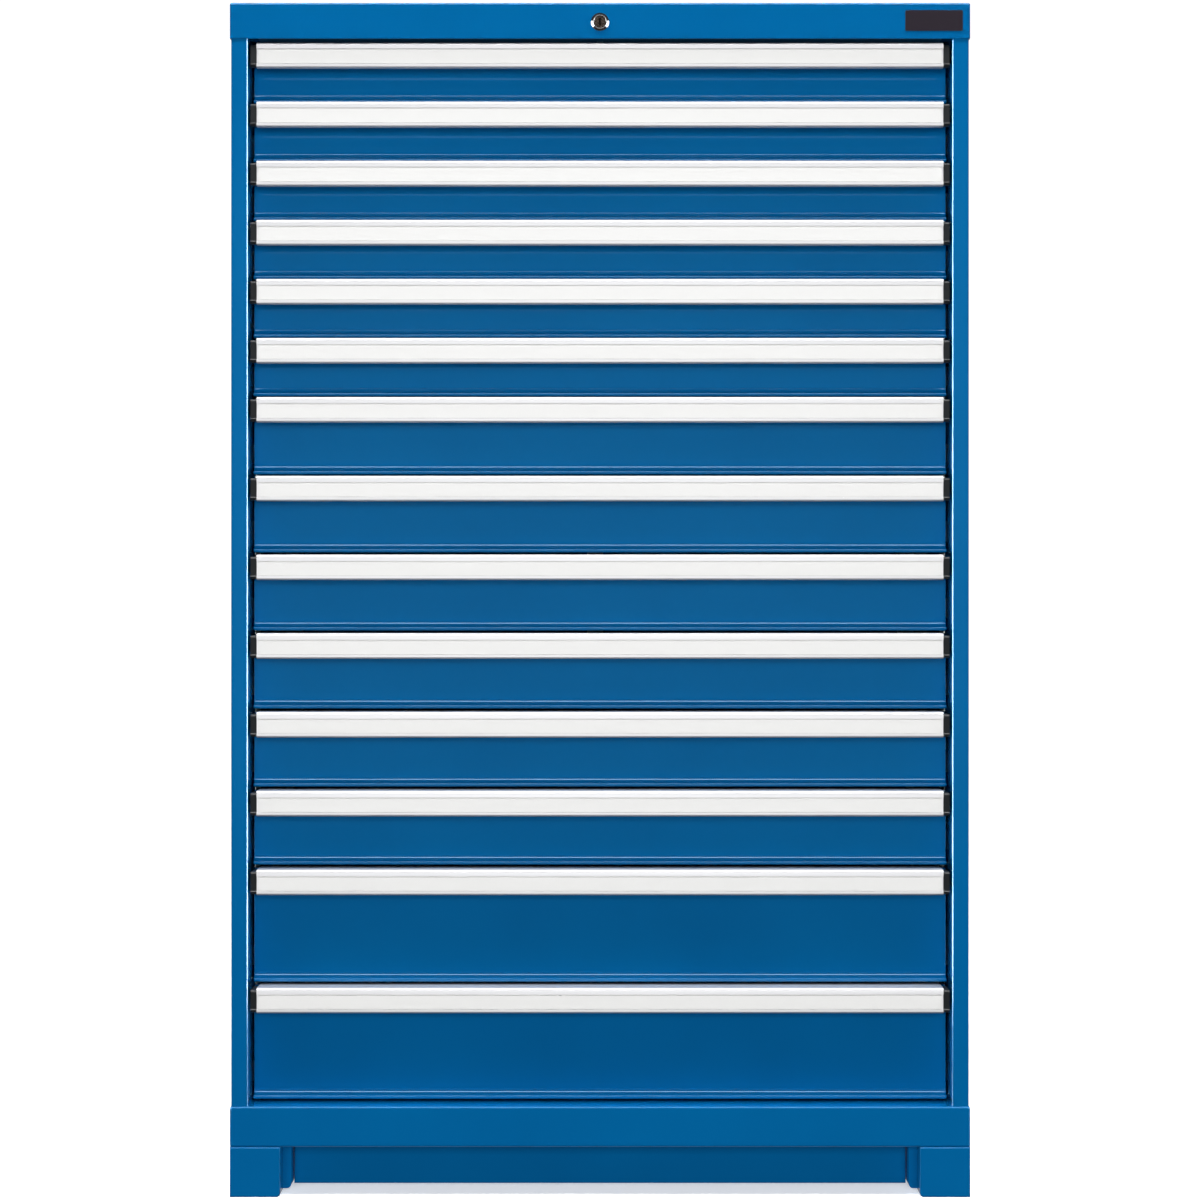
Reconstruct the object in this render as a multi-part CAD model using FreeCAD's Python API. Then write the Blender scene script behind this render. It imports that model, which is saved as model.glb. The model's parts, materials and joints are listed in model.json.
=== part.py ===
# Modular drawer cabinet: a folded steel housing with fourteen full-width drawers in three heights,
# each on a pair of roller slides, and one key lock that holds every drawer from behind.
# Millimetres. X runs to the right, Y to the rear and Z up. The origin is on the floor, at the
# middle of the housing, so the drawers open towards -Y.

import FreeCAD
import Part
import math
import os

V = FreeCAD.Vector

# Overall size
cabinet_width = 914.0
cabinet_depth = 610.0

# The stack of drawers, from the top. A unit is the spacing of the slots in the uprights.
unit_height = 24.33
drawer_units = [3] * 6 + [4] * 6 + [6] * 2
drawer_gap = 3.0
top_gap = 3.7

# Housing sheets and their folds
sheet = 1.5
back_sheet = 1.2
bend = 1.0
cap_height = 44.5
cap_return = 16.0
deck_height = 50.0
deck_return = 25.0
base_height = 62.0
post_width = 21.0
post_depth = 62.0
rear_flange = 20.0
return_clearance = 0.3

# Base: feet, channels between them and kick panels
foot_width = 62.4
foot_depth = 28.0
foot_sheet = 2.0
foot_corner = 5.5
channel_width = 72.6
channel_lift = 4.6
channel_sheet = 2.0
channel_slot = 30.0
pad_width = 53.0
pad_length = 95.0
anchor_inset = 65.0
anchor_radius = 5.5
access_radius = 12.5
kick_setback = 53.0
kick_depth = 20.0
kick_clearance = 0.4

# Drawer fronts: a shallow tray of sheet with a flared lip along its lower edge
face_setback = 38.0
front_side_gap = 2.7
front_sheet = 1.5
front_depth = 18.0
front_corner = 2.0
lip_out = 7.0
lip_nose = 2.5
lip_angle = math.radians(70.0)

# Handles: an extrusion with a label channel, closed by a moulded cap at each end
handle_height = 31.5
handle_setback = 2.0
handle_wall = 2.0
handle_front_wall = 3.0
handle_crown = 4.0
handle_hook = 9.0
handle_hook_wall = 1.8
handle_nose_round = 2.5
handle_edge_round = 0.8
handle_seat = 20.0
handle_overlap = 6.0
label_top = 8.0
label_bottom = 24.8
label_lip = 0.7
label_undercut = 0.8
label_depth = 1.8
label_sheet = 0.8
label_back_gap = 0.1
label_play = 0.2
label_window_gap = 0.4
label_window_setback = 0.35
label_end_play = 2.0
cheek_width = 7.6
cheek_clearance = 0.2
cheek_drop = 3.0
cheek_setback = 1.0
cheek_groove_top = 6.4
cheek_groove = 0.8
cheek_chamfer = 3.0
cheek_chamfer_in = 1.8
cheek_toe_round = 1.5
cheek_heel_round = 4.0

# Drawer trays
tray_sheet = 1.2
tray_floor = 12.5
tray_headroom = 12.0
tray_rear_space = 37.0
tray_rim = 6.0

# Roller slides, from the wall inwards: upright, fixed runner, carriage plate, drawer rail
upright_depth = 20.0
upright_width = 40.0
upright_sheet = 1.5
upright_from_post = 7.5
upright_from_rear = 50.0
runner_sheet = 1.5
runner_reach = 13.4
rail_reach = 12.5
slide_gap = 1.3
carriage_sheet = 2.5
carriage_height = 20.0
carriage_end_gap = 0.5
channel_inside = 22.0
slide_height = 28.0
runner_front_gap = 13.0
rail_front_gap = 4.0
runner_rear_space = 43.0
drawer_stays_in = 28.5
roller_gap = 0.3
roller_width = 8.0
roller_pin = 4.0
roller_bore_gap = 0.05
roller_collar = 2.2
roller_collar_radius = 6.0
roller_head = 1.0
roller_head_radius = 5.5

# Hooks of the runners and the slots that take them
hook_width = 3.0
hook_height = 8.0
hook_drop = 4.0
hook_sheet = 2.2
slot_clearance = 0.3
slot_side_clearance = 0.7

# Lock: barrel and plug in the cap, torque rod to the rear, lifting bar with a lug for each drawer
lock_below_top = 24.0
bezel_radius = 11.2
bezel_height = 2.6
bezel_round = 1.2
barrel_radius = 9.5
barrel_length = 28.0
barrel_clearance = 0.15
nut_radius = 14.4
nut_height = 4.0
nut_clearance = 0.05
plug_radius = 7.2
plug_clearance = 0.05
plug_recess = 0.8
keyway_width = 2.0
keyway_height = 9.0
keyway_depth = 12.0
keyway_dish_radius = 3.4
keyway_dish_depth = 0.5
tang_width = 6.0
tang_height = 3.0
tang_length = 11.0
rod_radius = 4.0
rod_clearance = 0.05
rod_socket_radius = 6.0
rod_socket_length = 14.0
rod_hanger_width = 30.0
rod_hanger_sheet = 3.0
rod_hanger_from_crank = 22.0
rod_hanger_drop = 10.0
lock_lift = 12.0
crank_radius = 12.5
crank_sheet = 3.0
crank_pin_radius = 2.5
crank_pin_clearance = 0.6
bar_sheet = 3.0
bar_width = 24.0
bar_from_rear = 14.0
bar_gap = 2.0
bar_top_margin = 12.0
bar_bottom_margin = 11.5
lug_length = 16.0
lug_height = 8.0
lug_gap = 2.0
catch_below_rim = 8.0
catch_drop = 12.0
catch_sheet = 1.5
catch_width = 12.0
catch_side_gap = 2.75
catch_lip_gap = 4.5
guide_height = 12.0
guide_wall = 4.5
guide_clearance = 0.3
guide_above_catch = 38.0
guided_drawers = [2, 7, 12]

# Blank plate on the cap, and the screws of the back panel
plate_width = 71.0
plate_height = 25.5
plate_sheet = 0.8
plate_corner = 1.5
plate_from_side = 9.5
plate_below_top = 22.3
screw_rows = 7
screw_margin = 40.0
screw_radius = 2.0
screw_hole_clearance = 0.2
screw_head_radius = 4.0
screw_head_height = 1.5
screw_head_round = 0.8
screw_length = 8.0

# Places that follow from the sizes above
half_width = cabinet_width / 2
front_y = -cabinet_depth / 2
rear_y = cabinet_depth / 2
deck_top = base_height + deck_height
stack_height = unit_height * sum(drawer_units)
cap_bottom = deck_top + stack_height + top_gap
cabinet_height = cap_bottom + cap_height
panel_top = cabinet_height - sheet
outer_bend = bend + sheet

side_outer = half_width - sheet
side_inner = side_outer - sheet
post_front = front_y + sheet
post_inner = side_outer - post_width
back_outer = rear_y - sheet
back_inner = back_outer - back_sheet

face_y = front_y + face_setback
front_half = post_inner - front_side_gap
handle_depth = face_setback - handle_setback
handle_half = front_half - cheek_clearance - cheek_width

upright_face = side_inner - upright_depth
runner_tip = upright_face - runner_reach
plate_outer = runner_tip - slide_gap
plate_inner = plate_outer - carriage_sheet
rail_tip = plate_inner - slide_gap
tray_half = rail_tip - rail_reach
tray_front = face_y + front_sheet
tray_rear = rear_y - tray_rear_space

front_upright_y = post_front + post_depth + upright_from_post
rear_upright_y = rear_y - upright_from_rear - upright_width
runner_front = face_y + front_depth + runner_front_gap
runner_rear = rear_y - runner_rear_space
rail_front = face_y + front_depth + rail_front_gap
rail_rear = runner_rear
channel_height = channel_inside + 2 * runner_sheet
drawer_travel = tray_rear - tray_front - drawer_stays_in
roller_radius = channel_inside / 2 - roller_gap
carriage_travel = drawer_travel / 2
roller_stand_off = runner_sheet + roller_gap + roller_radius
outer_rollers = [runner_front + roller_stand_off + carriage_travel, runner_rear - roller_stand_off]
inner_rollers = [rail_front + roller_stand_off, rail_rear - roller_stand_off - carriage_travel]

lock_z = cabinet_height - lock_below_top
bar_rear = rear_y - bar_from_rear
bar_front = bar_rear - bar_sheet
crank_front = bar_front - bar_gap - crank_sheet
crank_pin_reach = lock_lift / (2 * math.sin(math.radians(45.0)))
crank_pin_rest = crank_pin_reach * math.cos(math.radians(45.0))
smallest_pitch = min(drawer_units) * unit_height
catch_top = smallest_pitch - drawer_gap - tray_headroom - catch_below_rim
catch_height = catch_top - catch_sheet - catch_drop
bar_x = -(crank_pin_reach + crank_pin_rest) / 2
bar_left = bar_x - bar_width / 2
bar_right = bar_x + bar_width / 2


def box(x0, x1, y0, y1, z0, z1):
    """A block between two corners."""
    return Part.makeBox(x1 - x0, y1 - y0, z1 - z0, V(x0, y0, z0))


def rod(radius, start, along):
    """A round bar from a point, as long as the vector along."""
    return Part.makeCylinder(radius, along.Length, start, along)


def mirrored(shape):
    """The same piece on the other side of the cabinet's middle plane."""
    return shape.mirror(V(0, 0, 0), V(1, 0, 0))


def at(axis, along, u, v):
    """The point at a distance along an axis whose other two coordinates, in X, Y, Z order, are u and v."""
    if axis == "x":
        return V(along, u, v)
    if axis == "y":
        return V(u, along, v)
    return V(u, v, along)


def corner_arc(points, i):
    """Where the rounding of a corner of an outline starts, its middle and its end."""
    corner = V(points[i][0], points[i][1], 0)
    radius = points[i][2] if len(points[i]) > 2 else 0.0
    if radius == 0.0:
        return [corner]
    before = V(points[i - 1][0], points[i - 1][1], 0) - corner
    after = V(points[(i + 1) % len(points)][0], points[(i + 1) % len(points)][1], 0) - corner
    before.normalize()
    after.normalize()
    half_angle = before.getAngle(after) / 2
    tangent = radius / math.tan(half_angle)
    inwards = before + after
    inwards.normalize()
    middle = corner + inwards * (radius / math.sin(half_angle) - radius)
    return [corner + before * tangent, middle, corner + after * tangent]


def prism(points, axis, start, end):
    """A solid with one cross-section. Its corners are (u, v) or, where they are rounded, (u, v, radius)."""
    arcs = [corner_arc(points, i) for i in range(len(points))]
    edges = []
    for i, arc in enumerate(arcs):
        if len(arc) == 3:
            edges.append(Part.Arc(*[at(axis, start, p.x, p.y) for p in arc]).toShape())
        here = arc[-1]
        there = arcs[(i + 1) % len(arcs)][0]
        if (there - here).Length > 1e-6:
            edges.append(Part.makeLine(at(axis, start, here.x, here.y), at(axis, start, there.x, there.y)))
    return Part.Face(Part.Wire(edges)).extrude(at(axis, end - start, 0, 0))


def folded(path, thickness, radius):
    """The outline of a sheet folded along a path, with the sheet on the path's left.
    radius is the inside radius of every fold."""
    places = [V(u, v, 0) for u, v in path]
    runs = [(b - a).normalize() for a, b in zip(places, places[1:])]
    lefts = [V(-run.y, run.x, 0) for run in runs]
    last = len(places) - 1
    near = []
    far = []
    for i, place in enumerate(places):
        if i in (0, last):
            offset = lefts[min(i, last - 1)] * thickness
            near.append((place.x, place.y))
            far.append((place.x + offset.x, place.y + offset.y))
            continue
        offset = (lefts[i - 1] + lefts[i]) * (thickness / (1 + lefts[i - 1].dot(lefts[i])))
        turns_left = runs[i - 1].cross(runs[i]).z > 0
        near.append((place.x, place.y, radius + thickness if turns_left else radius))
        far.append((place.x + offset.x, place.y + offset.y, radius if turns_left else radius + thickness))
    return near + far[::-1]


def round_edges(solid, radius, chosen):
    """Round the edges whose middle point passes a test."""
    return solid.makeFillet(radius, [edge for edge in solid.Edges if chosen(edge.CenterOfMass)])


def same(a, b):
    """Whether two coordinates are the same, within rounding."""
    return abs(a - b) < 1e-3


def export(node, *solids):
    """Write one sub-part. Loose solids of one sub-part stay separate."""
    shape = solids[0] if len(solids) == 1 else Part.makeCompound(list(solids))
    shape.exportStep(os.path.join("parts", node + ".step"))


# Housing

def side_panel():
    """Right side wall. Its front edge is folded in and back to make the post beside the drawers."""
    path = [
        (post_inner, post_front + post_depth),
        (post_inner, post_front),
        (side_outer, post_front),
        (side_outer, back_inner),
        (side_outer - rear_flange, back_inner),
    ]
    panel = prism(folded(path, sheet, bend), "z", deck_top, panel_top)
    for z in screw_heights():
        panel = panel.cut(screw_hole(back_screw_x(), z))
    return panel


def back_screw_x():
    """Distance of the back panel's screws from the middle plane."""
    return side_outer - rear_flange / 2


def screw_heights():
    """Heights of the screws that hold the back panel."""
    low = deck_top + screw_margin
    high = cap_bottom - screw_margin
    return [low + (high - low) * i / (screw_rows - 1) for i in range(screw_rows)]


def screw_hole(x, z):
    """Clearance hole through the rear flange and the back panel."""
    start = V(x, back_inner - screw_length, z)
    return rod(screw_radius + screw_hole_clearance, start, V(0, 2 * screw_length, 0))


def back_panel():
    """Flat rear wall, screwed to the rear flanges of the side panels."""
    panel = box(-side_outer, side_outer, back_inner, back_outer, deck_top, panel_top)
    for z in screw_heights():
        for x in (-back_screw_x(), back_screw_x()):
            panel = panel.cut(screw_hole(x, z))
    return panel


def back_screw(x, z):
    """Pan-head screw from behind."""
    head = rod(screw_head_radius, V(x, back_outer, z), V(0, screw_head_height, 0))
    head = round_edges(head, screw_head_round, lambda p: same(p.y, back_outer + screw_head_height))
    return head.fuse(rod(screw_radius, V(x, back_outer, z), V(0, -screw_length, 0)))


def top_cover():
    """Cap: a lid with a skirt all round, whose front skirt is folded back under as a rail for the lock."""
    lid = box(-half_width, half_width, front_y, rear_y, cap_bottom, cabinet_height)

    def upper_or_upright(p):
        upright = same(abs(p.x), half_width) and same(abs(p.y), rear_y)
        return upright or same(p.z, cabinet_height)

    lid = round_edges(lid, outer_bend, upper_or_upright)
    lid = round_edges(lid, bend, lambda p: same(p.z, cap_bottom) and same(p.y, front_y))
    lid = lid.cut(box(-side_outer, side_outer, post_front, back_outer, cap_bottom + sheet, panel_top))
    return_rear = post_front + cap_return
    lid = lid.cut(box(-side_outer, side_outer, return_rear, back_outer, cap_bottom, cap_bottom + sheet))
    return_half = post_inner - return_clearance
    for left, right in ((-side_outer, -return_half), (return_half, side_outer)):
        lid = lid.cut(box(left, right, post_front, return_rear, cap_bottom, cap_bottom + sheet))
    return lid.cut(rod(barrel_radius + barrel_clearance, V(0, front_y, lock_z), V(0, sheet, 0)))


def bottom_deck():
    """Floor of the housing: a tray turned over, whose front skirt is the bottom rail."""
    deck = box(-half_width, half_width, front_y, rear_y, base_height, deck_top)
    deck = round_edges(deck, outer_bend, lambda p: True)
    inside_half = half_width - sheet
    inside_y = rear_y - sheet
    inside_low = base_height + sheet
    deck = deck.cut(box(-inside_half, inside_half, -inside_y, inside_y, inside_low, deck_top - sheet))
    hole_half = inside_half - deck_return
    hole_y = inside_y - deck_return
    deck = deck.cut(box(-hole_half, hole_half, -hole_y, hole_y, base_height, inside_low))
    for x, y in anchor_places():
        deck = deck.cut(rod(access_radius, V(x, y, base_height), V(0, 0, deck_height)))
    return deck


# Base

def anchor_places():
    """Centres of the floor anchors, one in the pad of each foot."""
    x = half_width - foot_width / 2
    y = rear_y - anchor_inset
    return [(-x, -y), (x, -y), (-x, y), (x, y)]


def base_channel():
    """Right base channel, from the front foot to the rear one, slotted along its underside."""
    inner = half_width - channel_width
    end_y = rear_y - foot_depth
    outside = [
        (inner, channel_lift, foot_corner),
        (half_width, channel_lift, foot_sheet),
        (half_width, base_height, foot_sheet),
        (inner, base_height, foot_sheet),
    ]
    inside = [
        (inner + channel_sheet, channel_lift + channel_sheet, foot_corner - channel_sheet),
        (half_width - channel_sheet, channel_lift + channel_sheet),
        (half_width - channel_sheet, base_height - channel_sheet),
        (inner + channel_sheet, base_height - channel_sheet),
    ]
    channel = prism(outside, "y", -end_y, end_y)
    channel = channel.cut(prism(inside, "y", channel_sheet - end_y, end_y - channel_sheet))
    slot_x = anchor_places()[1][0]
    slot_y = end_y - channel_sheet
    channel = channel.cut(box(
        slot_x - channel_slot / 2, slot_x + channel_slot / 2,
        -slot_y, slot_y, channel_lift, channel_lift + channel_sheet))
    for x, y in anchor_places():
        if x > 0:
            start = V(x, y, base_height - channel_sheet)
            channel = channel.cut(rod(access_radius, start, V(0, 0, channel_sheet)))
    return channel


def foot():
    """Front right foot: a folded box at the corner, with a thick pad that runs back under the channel."""
    inner = half_width - foot_width
    back = front_y + foot_depth
    outside = [
        (inner, 0.0, foot_corner),
        (half_width, 0.0),
        (half_width, base_height),
        (inner, base_height),
    ]
    inside = [
        (inner + foot_sheet, foot_sheet, foot_corner - foot_sheet),
        (half_width - foot_sheet, foot_sheet),
        (half_width - foot_sheet, base_height - foot_sheet),
        (inner + foot_sheet, base_height - foot_sheet),
    ]
    shell = prism(outside, "y", front_y, back)
    shell = round_edges(shell, foot_sheet, lambda p: same(p.y, front_y))
    shell = shell.cut(prism(inside, "y", front_y + foot_sheet, back))
    pad_x, pad_y = anchor_places()[1]
    pad_front = front_y + foot_sheet
    pad = box(
        pad_x - pad_width / 2, pad_x + pad_width / 2,
        pad_front, pad_front + pad_length, 0.0, channel_lift)
    pad = pad.cut(rod(anchor_radius, V(pad_x, pad_y, 0.0), V(0, 0, channel_lift)))
    return shell.fuse(pad).removeSplitter()


def feet():
    """All four feet."""
    front_right = foot()
    rear_right = front_right.mirror(V(0, 0, 0), V(0, 1, 0))
    return [front_right, mirrored(front_right), rear_right, mirrored(rear_right)]


def kick_panel():
    """Front kick panel, set back between the base channels and folded on all four sides."""
    half = half_width - channel_width - kick_clearance
    front = front_y + kick_setback
    panel = box(-half, half, front, front + kick_depth, channel_lift, base_height)
    panel = round_edges(panel, outer_bend, lambda p: same(p.y, front))
    return panel.cut(box(
        sheet - half, half - sheet,
        front + sheet, front + kick_depth, channel_lift + sheet, base_height - sheet))


# Drawers

def drawer_places():
    """Number, lower edge and height of each drawer front, from the top."""
    top = deck_top + stack_height
    for i, units in enumerate(drawer_units):
        pitch = units * unit_height
        yield i + 1, top - pitch + drawer_gap, pitch - drawer_gap
        top -= pitch


def arc_points(centre_u, centre_v, radius, start, end):
    """Start, middle and end of an arc, at angles in radians."""
    angles = [start, (start + end) / 2, end]
    return [(centre_u + radius * math.cos(a), centre_v + radius * math.sin(a)) for a in angles]


def front_outline(bottom, height, inset, depth):
    """Side view of a drawer front, moved into the sheet by inset.
    It runs along the top return, the face, the cove and the nose of the lip, and the bottom return."""
    cove = lip_out / (1 - math.cos(lip_angle)) - lip_nose
    reach = cove + lip_nose
    cove_v = bottom + reach * math.sin(lip_angle) + lip_nose
    nose_u = face_y - (cove - reach * math.cos(lip_angle))
    nose_v = bottom + lip_nose
    top = bottom + height - handle_wall - inset
    back = face_y + depth
    corner = front_corner - inset if inset < front_corner else 0.0
    crown = arc_points(face_y + inset + corner, top - corner, corner, math.pi / 2, math.pi)
    hollow = arc_points(face_y - cove, cove_v, cove + inset, 0.0, -lip_angle)
    nose = arc_points(nose_u, nose_v, lip_nose - inset, math.pi - lip_angle, 3 * math.pi / 2)
    stations = [[(back, top)], crown, hollow, nose, [(back, bottom + inset)]]
    edges = []
    for here, there in zip(stations, stations[1:] + stations[:1]):
        if len(here) == 3:
            edges.append(Part.Arc(*[V(0, u, v) for u, v in here]).toShape())
        start = V(0, *here[-1])
        end = V(0, *there[0])
        if (end - start).Length > 1e-6:
            edges.append(Part.makeLine(start, end))
    return Part.Face(Part.Wire(edges))


def drawer_front(bottom, height):
    """Front panel, closed at both ends and open behind."""
    outside = front_outline(bottom, height, 0.0, front_depth)
    outside.translate(V(-front_half, 0, 0))
    panel = outside.extrude(V(2 * front_half, 0, 0))
    back = face_y + front_depth
    panel = round_edges(panel, bend, lambda p: same(abs(p.x), front_half) and p.y < back - bend)
    inside = front_outline(bottom, height, front_sheet, 2 * front_depth)
    inside.translate(V(front_sheet - front_half, 0, 0))
    return panel.cut(inside.extrude(V(2 * (front_half - front_sheet), 0, 0)))


def drawer_tray(bottom, height):
    """Tray behind the front: floor, two sides with a rim folded outwards, and a rear wall."""
    floor = bottom + tray_floor
    rim = bottom + height - tray_headroom
    path = [
        (-tray_half - tray_rim, rim),
        (-tray_half, rim),
        (-tray_half, floor),
        (tray_half, floor),
        (tray_half, rim),
        (tray_half + tray_rim, rim),
    ]
    tray = prism(folded(path, tray_sheet, 0.0), "y", tray_front, tray_rear)
    rear = box(-tray_half, tray_half, tray_rear - tray_sheet, tray_rear, floor, rim)
    return tray.fuse(rear).removeSplitter()


def channel_section(web, tip, middle):
    """Corners of a C-channel whose web stands at one X and whose flanges reach to another."""
    inward = math.copysign(runner_sheet, tip - web)
    high = middle + channel_height / 2
    low = middle - channel_height / 2
    return [
        (web, low),
        (tip, low),
        (tip, low + runner_sheet),
        (web + inward, low + runner_sheet),
        (web + inward, high - runner_sheet),
        (tip, high - runner_sheet),
        (tip, high),
        (web, high),
    ]


def closed_channel(web, tip, middle, front, rear):
    """C-channel with an end plate at each end, which stops the rollers."""
    channel = prism(channel_section(web, tip, middle), "y", front, rear)
    half = channel_height / 2
    left = min(web, tip)
    right = max(web, tip)
    for start in (front, rear - runner_sheet):
        plate = box(left, right, start, start + runner_sheet, middle - half, middle + half)
        channel = channel.fuse(plate)
    return channel.removeSplitter()


def drawer_rail(bottom):
    """Right rail of a drawer, open outwards."""
    return closed_channel(tray_half, rail_tip, bottom + slide_height, rail_front, rail_rear)


def drawer_catch(bottom):
    """Bracket behind a drawer. Its lip hangs behind the lug of the lock bar when the bar is lifted."""
    low = bottom + catch_height
    right = bar_left - catch_side_gap
    lip_front = bar_rear + catch_lip_gap
    outline = [
        (tray_rear, low + catch_drop),
        (lip_front, low + catch_drop),
        (lip_front, low),
        (lip_front + catch_sheet, low),
        (lip_front + catch_sheet, low + catch_drop + catch_sheet),
        (tray_rear, low + catch_drop + catch_sheet),
    ]
    return prism(outline, "x", right - catch_width, right)


def handle_section(points, top):
    """Turn distances in front of the drawer face and below the drawer's top into section coordinates."""
    return [(face_y - point[0], top - point[1], *point[2:]) for point in points]


def handle_extrusion(top):
    """Full-width grip, hooked over the front's top edge.
    It has a channel for labels in front and a hook for the fingers below."""
    front = handle_depth
    inner = front - handle_front_wall
    lip = front - label_lip
    floor = front - label_depth
    hook = front - handle_hook
    points = [
        (-handle_overlap, 0.0),
        (front, 0.0, handle_crown),
        (front, label_top),
        (lip, label_top),
        (lip, label_top - label_undercut),
        (floor, label_top - label_undercut),
        (floor, label_bottom + label_undercut),
        (lip, label_bottom + label_undercut),
        (lip, label_bottom),
        (front, label_bottom),
        (front, handle_height, handle_nose_round),
        (hook, handle_height, handle_edge_round),
        (hook, handle_height - handle_hook_wall, handle_edge_round),
        (inner, handle_height - handle_hook_wall, handle_edge_round),
        (inner, handle_wall, handle_crown - handle_front_wall),
        (handle_wall, handle_wall, handle_edge_round),
        (handle_wall, handle_seat, handle_edge_round),
        (0.0, handle_seat),
        (0.0, handle_wall),
        (-handle_overlap, handle_wall),
    ]
    return prism(handle_section(points, top), "x", -handle_half, handle_half)


def label_strip(top):
    """Clear strip with a paper label, held behind the two lips of the channel."""
    back = handle_depth - label_depth + label_back_gap
    shoulder = back + label_sheet
    window = handle_depth - label_window_setback
    upper_edge = label_top - label_undercut + label_play
    lower_edge = label_bottom + label_undercut - label_play
    points = [
        (back, upper_edge),
        (shoulder, upper_edge),
        (shoulder, label_top + label_window_gap),
        (window, label_top + label_window_gap),
        (window, label_bottom - label_window_gap),
        (shoulder, label_bottom - label_window_gap),
        (shoulder, lower_edge),
        (back, lower_edge),
    ]
    half = handle_half - label_end_play
    return prism(handle_section(points, top), "x", -half, half)


def end_cap(top):
    """Moulded cheek on the right end of the handle, grooved near its top and chamfered at its toe."""
    front = handle_depth - cheek_setback
    foot_level = handle_height - cheek_setback
    points = [
        (0.0, cheek_drop),
        (front, cheek_drop, cheek_drop),
        (front, cheek_groove_top),
        (front - cheek_groove, cheek_groove_top),
        (front - cheek_groove, cheek_groove_top + cheek_groove),
        (front, cheek_groove_top + cheek_groove),
        (front, foot_level - cheek_chamfer),
        (front - cheek_chamfer_in, foot_level),
        (front - handle_hook, foot_level, cheek_toe_round),
        (handle_wall, handle_seat, cheek_heel_round),
        (0.0, handle_seat),
    ]
    return prism(handle_section(points, top), "x", handle_half, handle_half + cheek_width)


# Slides

def upright(start):
    """Right upright: a channel with a slot at every unit, its flanges against the side wall."""
    path = [
        (side_inner, start + upright_width),
        (upright_face, start + upright_width),
        (upright_face, start),
        (side_inner, start),
    ]
    post = prism(folded(path, upright_sheet, 0.0), "z", deck_top, deck_top + stack_height)
    middle = start + upright_width / 2
    half = hook_width / 2 + slot_side_clearance
    slots = []
    neck_bottom = deck_top + drawer_gap + slide_height - hook_height / 2
    below = math.floor((neck_bottom - slot_clearance - deck_top) / unit_height)
    for i in range(sum(drawer_units)):
        low = neck_bottom + (i - below) * unit_height - slot_clearance
        high = low + hook_height + hook_drop + 2 * slot_clearance
        slots.append(box(
            upright_face, upright_face + upright_sheet,
            middle - half, middle + half, low, high))
    return post.cut(Part.makeCompound(slots))


def fixed_runner(bottom):
    """Right runner of a drawer, open inwards, with a hook for each upright."""
    middle = bottom + slide_height
    runner = closed_channel(upright_face, runner_tip, middle, runner_front, runner_rear)
    behind = upright_face + upright_sheet + slot_clearance
    for start in (front_upright_y, rear_upright_y):
        y0 = start + (upright_width - hook_width) / 2
        y1 = y0 + hook_width
        neck = box(upright_face, behind, y0, y1, middle - hook_height / 2, middle + hook_height / 2)
        claw = box(
            behind, behind + hook_sheet,
            y0, y1, middle - hook_height / 2 - hook_drop, middle + hook_height / 2)
        runner = runner.fuse(neck).fuse(claw)
    return runner.removeSplitter()


def roller_and_pin(face, side, y, z):
    """A roller beside the carriage plate, and the shouldered pin that it turns on.
    face is the plate's face and side is 1 outwards or -1 inwards."""
    reach = roller_collar + 2 * roller_gap + roller_width
    collar = rod(roller_collar_radius, V(face, y, z), V(side * roller_collar, 0, 0))
    shank = rod(roller_pin, V(face, y, z), V(side * reach, 0, 0))
    head = rod(roller_head_radius, V(face + side * reach, y, z), V(side * roller_head, 0, 0))
    start = V(face + side * (roller_collar + roller_gap), y, z)
    roller = rod(roller_radius, start, V(side * roller_width, 0, 0))
    roller = roller.cut(rod(roller_pin + roller_bore_gap, start, V(side * roller_width, 0, 0)))
    return roller, collar.fuse(shank).fuse(head)


def carriage(bottom):
    """Right carriage: a plate with two rollers in the fixed runner and two in the drawer rail."""
    z = bottom + slide_height
    half = carriage_height / 2
    plate = box(
        plate_inner, plate_outer,
        rail_front + carriage_end_gap, rail_rear - carriage_end_gap, z - half, z + half)
    rollers = []
    for face, side, places in ((plate_outer, 1, outer_rollers), (plate_inner, -1, inner_rollers)):
        for y in places:
            roller, pin = roller_and_pin(face, side, y, z)
            rollers.append(roller)
            plate = plate.fuse(pin)
    return [plate] + rollers


# Lock

def lock_housing():
    """Barrel through the cap's front skirt, with a round bezel in front and a hexagon nut behind."""
    bezel = rod(bezel_radius, V(0, front_y, lock_z), V(0, -bezel_height, 0))
    bezel = round_edges(bezel, bezel_round, lambda p: same(p.y, front_y - bezel_height))
    barrel = bezel.fuse(rod(barrel_radius, V(0, front_y, lock_z), V(0, barrel_length, 0)))
    bore_start = V(0, front_y - bezel_height, lock_z)
    bore = rod(plug_radius + plug_clearance, bore_start, V(0, bezel_height + barrel_length, 0))
    corners = []
    for i in range(6):
        angle = math.radians(60.0 * i)
        corners.append((nut_radius * math.cos(angle), lock_z + nut_radius * math.sin(angle)))
    nut = prism(corners, "y", post_front, post_front + nut_height)
    nut = nut.cut(rod(barrel_radius + nut_clearance, V(0, post_front, lock_z), V(0, nut_height, 0)))
    return [barrel.cut(bore), nut]


def lock_plug():
    """Turning core with the keyway, and a flat tang that drives the rod."""
    front = front_y - bezel_height + plug_recess
    rear = front_y + barrel_length
    plug = rod(plug_radius, V(0, front, lock_z), V(0, rear - front, 0))
    plug = plug.cut(rod(keyway_dish_radius, V(0, front, lock_z), V(0, keyway_dish_depth, 0)))
    plug = plug.cut(box(
        -keyway_width / 2, keyway_width / 2,
        front, front + keyway_depth, lock_z - keyway_height / 2, lock_z + keyway_height / 2))
    return plug.fuse(tang(rear))


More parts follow.
